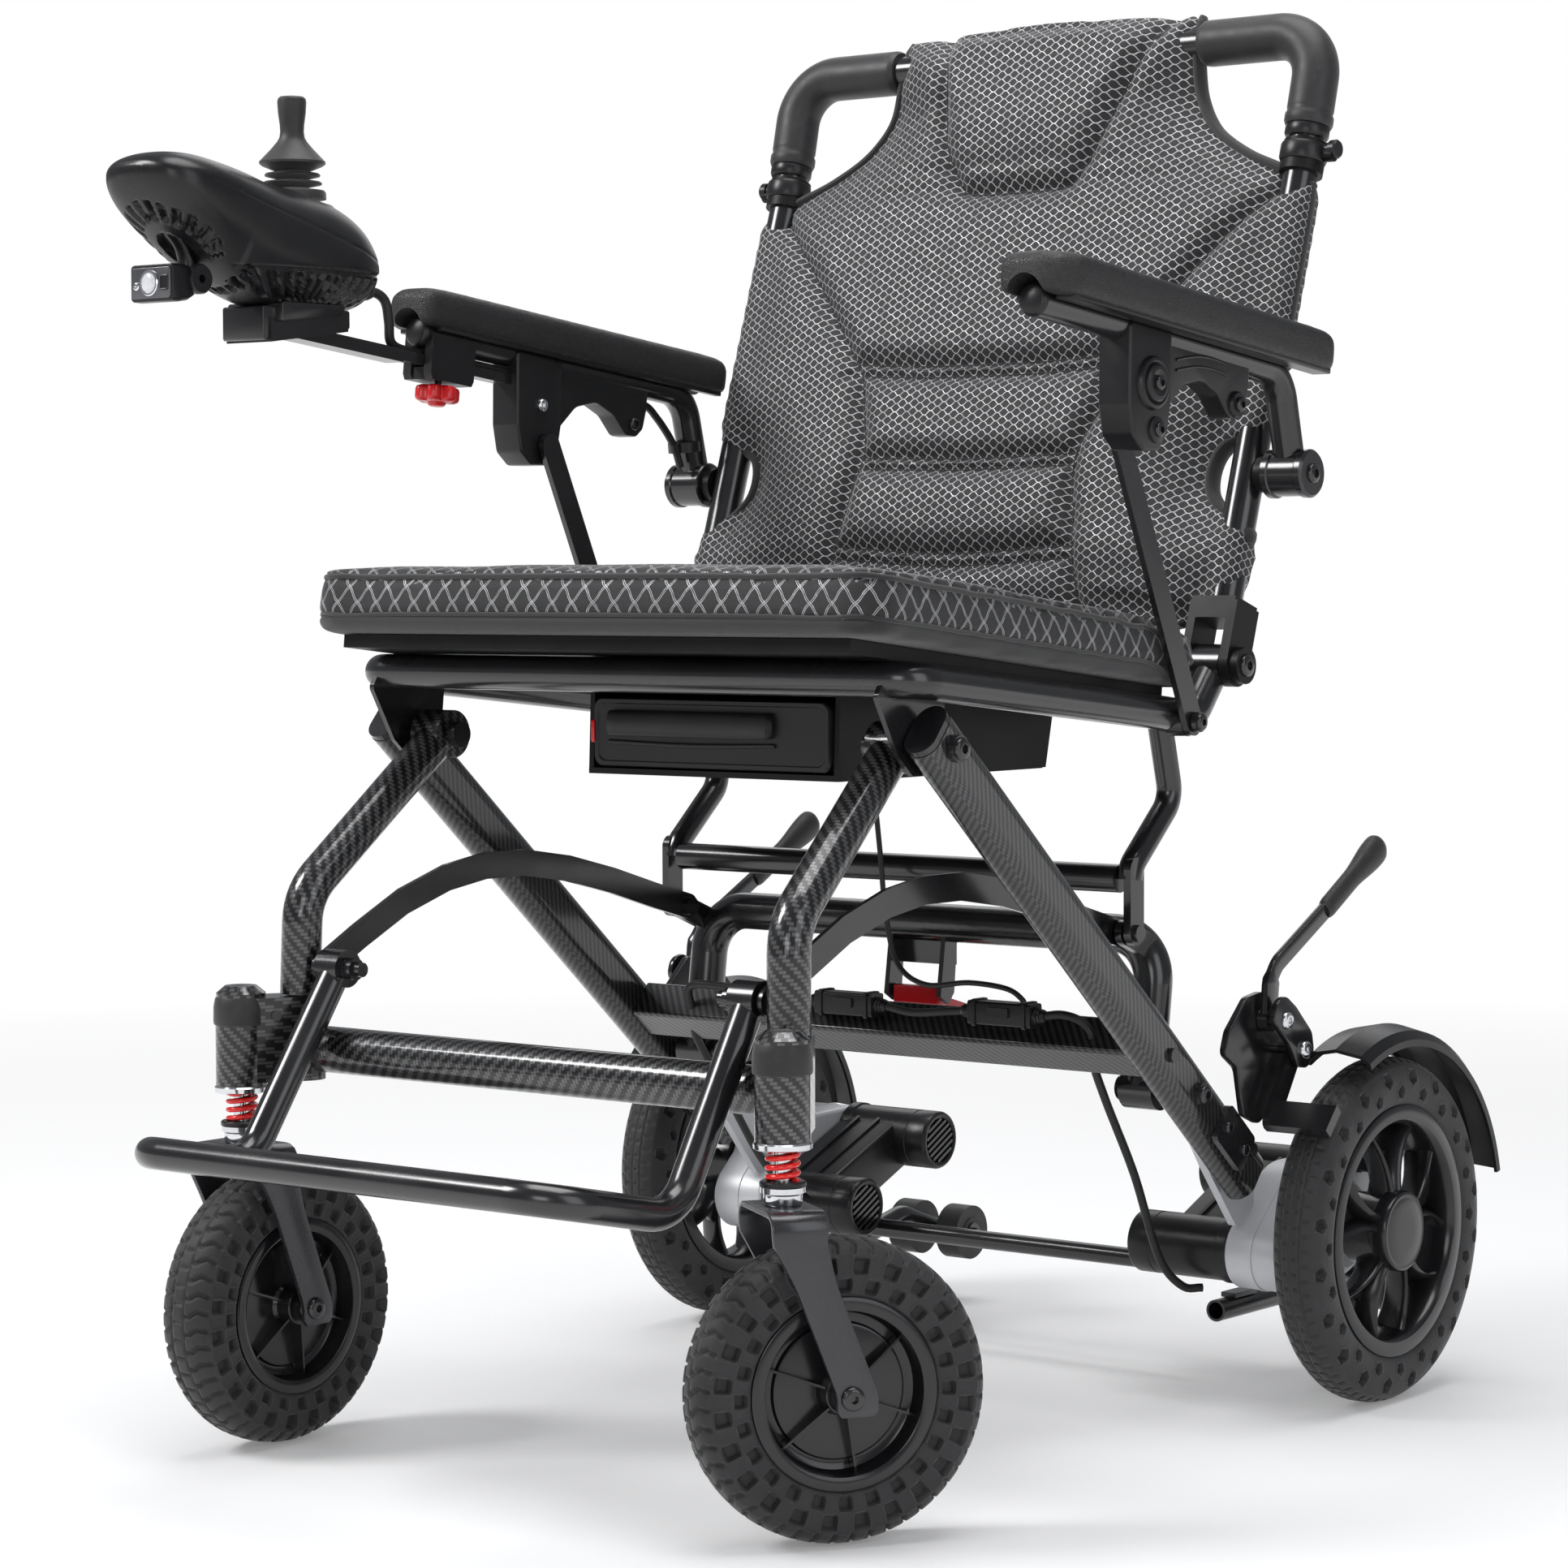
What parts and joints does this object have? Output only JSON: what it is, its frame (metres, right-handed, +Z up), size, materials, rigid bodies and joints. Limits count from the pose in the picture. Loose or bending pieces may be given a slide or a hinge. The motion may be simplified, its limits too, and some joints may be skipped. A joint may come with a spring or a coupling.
{
  "type": "folding power wheelchair",
  "caption": "Compact folding power wheelchair with a joystick on the right armrest, padded seat and back, sprung front casters, driven rear wheels and a tubular footrest.",
  "frame": {"origin": "on the ground, in the middle of the chair's overall width and length", "axes": "+X towards the occupant's left, -Y forwards, +Z up"},
  "size_m": [0.654, 0.9484, 1.0104],
  "materials": {
    "carbon": "carbon fibre twill under clear lacquer",
    "black_metal": "satin black powder coat",
    "black_plastic": "moulded, fine texture",
    "steel": "plated fasteners",
    "gear_alu": "bead-blasted, silver",
    "red_steel": "red coated spring steel",
    "red_plastic": "red moulded plastic",
    "tyre": "dark grey rubber",
    "rubber": "soft black rubber",
    "rim_plastic": "glass-filled nylon",
    "seat_fabric": "dark knit with a silver diamond pattern",
    "foam": "closed-cell foam sleeve",
    "arm_leather": "grained, moulded pad",
    "battery_case": "black battery case",
    "lamp": "black lamp with a clear lens"
  },
  "bodies": {
    "main_frame": {"frame_tubes": "carbon", "frame_beam": "carbon", "frame_fittings": "steel", "drive_units": "black_plastic", "gearboxes": "gear_alu", "axle_and_anti_tip_tubes": "black_metal", "fenders": "black_plastic", "brake_brackets": "black_metal", "motor_cables": "rubber"},
    "front_legs": {"front_frame": "carbon", "caster_heads": "carbon", "leg_bolts": "steel"},
    "caster_post_left": {"caster_stem_left": "steel", "caster_spring_left": "red_steel"},
    "caster_fork_left": {"caster_fork_left": "black_metal"},
    "front_wheel_left": {"front_rim_left": "rim_plastic", "front_tyre_left": "tyre"},
    "rear_wheel_left": {"rear_rim_left": "rim_plastic", "rear_tyre_left": "tyre"},
    "anti_tip_left": {"anti_tip_wheels_left": "rubber"},
    "armrest_left": {"arm_tube_left": "black_metal", "arm_pad_left": "arm_leather", "arm_bracket_left": "black_plastic"},
    "arm_link_left": {"arm_link_left": "black_metal"},
    "brake_lever_left": {"brake_lever_left": "black_metal"},
    "brake_shoe_left": {"brake_shoe_left": "black_metal"},
    "caster_post_right": {"caster_stem_right": "steel", "caster_spring_right": "red_steel"},
    "caster_fork_right": {"caster_fork_right": "black_metal"},
    "front_wheel_right": {"front_rim_right": "rim_plastic", "front_tyre_right": "tyre"},
    "rear_wheel_right": {"rear_rim_right": "rim_plastic", "rear_tyre_right": "tyre"},
    "anti_tip_right": {"anti_tip_wheels_right": "rubber"},
    "armrest_right": {"arm_tube_right": "black_metal", "arm_pad_right": "arm_leather", "arm_bracket_right": "black_plastic"},
    "arm_link_right": {"arm_link_right": "black_metal"},
    "brake_lever_right": {"brake_lever_right": "black_metal"},
    "brake_shoe_right": {"brake_shoe_right": "black_metal"},
    "seat": {"seat_frame": "black_metal", "seat_base": "black_plastic", "seat_cushion": "seat_fabric"},
    "battery": {"battery_pack": "battery_case"},
    "backrest": {"back_frame": "black_metal", "back_foam": "foam", "back_knuckles": "black_plastic", "back_pad": "seat_fabric"},
    "controller": {"controller_slide": "black_metal", "controller_shell": "black_plastic", "headlamp": "lamp"},
    "slide_knob": {"slide_knob": "red_plastic"},
    "power_button": {"power_button": "rubber"},
    "joystick_gimbal": {"joystick_gimbal": "rubber"},
    "joystick": {"joystick": "rubber"},
    "rear_support": {"rear_support": "black_metal"},
    "u_link": {"u_link": "black_metal"},
    "curved_links": {"curved_links": "black_metal"},
    "fold_pedal": {"fold_pedal": "red_plastic"},
    "footrest": {"footrest": "black_metal"}
  },
  "joints": [
    {"name": "fold", "type": "hinge", "parent": "main_frame", "child": "front_legs", "pos_m": [0, -0.14675, 0.488], "axis": [1, 0, 0], "range_deg": [0, 34]},
    {"name": "seat_fold", "type": "hinge", "parent": "main_frame", "child": "seat", "pos_m": [0, -0.14675, 0.488], "axis": [1, 0, 0], "range_deg": [-8.75, 0]},
    {"name": "u_link_fold", "type": "hinge", "parent": "main_frame", "child": "u_link", "pos_m": [0, 0.14625, 0.235], "axis": [1, 0, 0], "range_deg": [-58.5, 0]},
    {"name": "curved_link_fold", "type": "hinge", "parent": "front_legs", "child": "curved_links", "pos_m": [0, -0.27275, 0.332], "axis": [1, 0, 0], "range_deg": [-32.5, 0]},
    {"name": "rear_support_fold", "type": "hinge", "parent": "seat", "child": "rear_support", "pos_m": [0, 0.15825, 0.5], "axis": [1, 0, 0], "range_deg": [0, 50.2]},
    {"name": "footrest_flip", "type": "hinge", "parent": "front_legs", "child": "footrest", "pos_m": [0, -0.27275, 0.332], "axis": [1, 0, 0], "range_deg": [-90, 0]},
    {"name": "caster_suspension_left", "type": "slide", "parent": "front_legs", "child": "caster_post_left", "axis": [0, 0, 1], "range_m": [0, 0.012], "deforming": ["caster_spring_left"]},
    {"name": "caster_swivel_left", "type": "hinge", "parent": "caster_post_left", "child": "caster_fork_left", "pos_m": [0.2362, -0.31075, 0.208], "axis": [0, 0, 1], "continuous": true},
    {"name": "front_wheel_spin_left", "type": "hinge", "parent": "caster_fork_left", "child": "front_wheel_left", "pos_m": [0.2544, -0.28346, 0.096], "axis": [0.832, -0.5548, 0], "continuous": true},
    {"name": "rear_wheel_spin_left", "type": "hinge", "parent": "main_frame", "child": "rear_wheel_left", "pos_m": [0.3013, 0.30425, 0.125], "axis": [1, 0, 0], "continuous": true},
    {"name": "anti_tip_spin_left", "type": "hinge", "parent": "main_frame", "child": "anti_tip_left", "pos_m": [0.202, 0.45225, 0.058], "axis": [1, 0, 0], "continuous": true},
    {"name": "armrest_fold_left", "type": "hinge", "parent": "backrest", "child": "armrest_left", "pos_m": [0.272, 0.22625, 0.67], "axis": [1, 0, 0], "range_deg": [-31, 0]},
    {"name": "arm_link_fold_left", "type": "hinge", "parent": "seat", "child": "arm_link_left", "pos_m": [0.255, 0.12625, 0.497], "axis": [1, 0, 0], "range_deg": [0, 65.1]},
    {"name": "brake_lever_left_swing", "type": "hinge", "parent": "main_frame", "child": "brake_lever_left", "pos_m": [0.2645, 0.21225, 0.283], "axis": [1, 0, 0], "range_deg": [0, 45]},
    {"name": "brake_shoe_left_swing", "type": "hinge", "parent": "main_frame", "child": "brake_shoe_left", "pos_m": [0.271, 0.23725, 0.26], "axis": [1, 0, 0], "range_deg": [0, 4.6]},
    {"name": "caster_suspension_right", "type": "slide", "parent": "front_legs", "child": "caster_post_right", "axis": [0, 0, 1], "range_m": [0, 0.012], "deforming": ["caster_spring_right"]},
    {"name": "caster_swivel_right", "type": "hinge", "parent": "caster_post_right", "child": "caster_fork_right", "pos_m": [-0.2362, -0.31075, 0.208], "axis": [0, 0, 1], "continuous": true},
    {"name": "front_wheel_spin_right", "type": "hinge", "parent": "caster_fork_right", "child": "front_wheel_right", "pos_m": [-0.2362, -0.27795, 0.096], "axis": [1, 0, 0], "continuous": true},
    {"name": "rear_wheel_spin_right", "type": "hinge", "parent": "main_frame", "child": "rear_wheel_right", "pos_m": [-0.3013, 0.30425, 0.125], "axis": [1, 0, 0], "continuous": true},
    {"name": "anti_tip_spin_right", "type": "hinge", "parent": "main_frame", "child": "anti_tip_right", "pos_m": [-0.202, 0.45225, 0.058], "axis": [1, 0, 0], "continuous": true},
    {"name": "armrest_fold_right", "type": "hinge", "parent": "backrest", "child": "armrest_right", "pos_m": [-0.272, 0.22625, 0.67], "axis": [1, 0, 0], "range_deg": [-31, 0]},
    {"name": "arm_link_fold_right", "type": "hinge", "parent": "seat", "child": "arm_link_right", "pos_m": [-0.255, 0.12625, 0.497], "axis": [1, 0, 0], "range_deg": [0, 65.1]},
    {"name": "brake_lever_right_swing", "type": "hinge", "parent": "main_frame", "child": "brake_lever_right", "pos_m": [-0.2645, 0.21225, 0.283], "axis": [1, 0, 0], "range_deg": [0, 45]},
    {"name": "brake_shoe_right_swing", "type": "hinge", "parent": "main_frame", "child": "brake_shoe_right", "pos_m": [-0.271, 0.23725, 0.26], "axis": [1, 0, 0], "range_deg": [0, 4.6]},
    {"name": "backrest_fold", "type": "hinge", "parent": "seat", "child": "backrest", "pos_m": [0, 0.18225, 0.535], "axis": [1, 0, 0], "range_deg": [0, 75]},
    {"name": "battery_slide", "type": "slide", "parent": "seat", "child": "battery", "axis": [0, -1, 0], "range_m": [0, 0.22]},
    {"name": "controller_slide", "type": "slide", "parent": "armrest_right", "child": "controller", "axis": [0, -0.9932, 0.1167], "range_m": [0, 0.05]},
    {"name": "slide_knob_turn", "type": "hinge", "parent": "armrest_right", "child": "slide_knob", "pos_m": [-0.272, -0.0707, 0.73336], "axis": [0, 0.1167, 0.9932], "continuous": true},
    {"name": "joystick_fore_aft", "type": "hinge", "parent": "controller", "child": "joystick_gimbal", "pos_m": [-0.272, -0.21775, 0.868], "axis": [1, 0, 0], "range_deg": [-15, 15]},
    {"name": "joystick_side", "type": "hinge", "parent": "joystick_gimbal", "child": "joystick", "pos_m": [-0.272, -0.21775, 0.868], "axis": [0, 1, 0], "range_deg": [-15, 15]},
    {"name": "power_button_press", "type": "slide", "parent": "controller", "child": "power_button", "axis": [0, -0.1564, -0.9877], "range_m": [0, 0.0015]},
    {"name": "pedal_press", "type": "hinge", "parent": "u_link", "child": "fold_pedal", "pos_m": [0, 0.15325, 0.291], "axis": [1, 0, 0], "range_deg": [-18, 0]}
  ],
  "couplings": [
    {"joint": "seat_fold", "follows": "fold", "ratio": -0.25588},
    {"joint": "u_link_fold", "follows": "fold", "ratio": -1.7176},
    {"joint": "curved_link_fold", "follows": "fold", "ratio": -0.95294},
    {"joint": "rear_support_fold", "follows": "fold", "ratio": 1.4735},
    {"joint": "armrest_fold_left", "follows": "backrest_fold", "ratio": -0.412},
    {"joint": "arm_link_fold_left", "follows": "backrest_fold", "ratio": 0.86667},
    {"joint": "brake_shoe_left_swing", "follows": "brake_lever_left_swing", "ratio": 0.1},
    {"joint": "armrest_fold_right", "follows": "backrest_fold", "ratio": -0.412},
    {"joint": "arm_link_fold_right", "follows": "backrest_fold", "ratio": 0.86667},
    {"joint": "brake_shoe_right_swing", "follows": "brake_lever_right_swing", "ratio": 0.1}
  ]
}
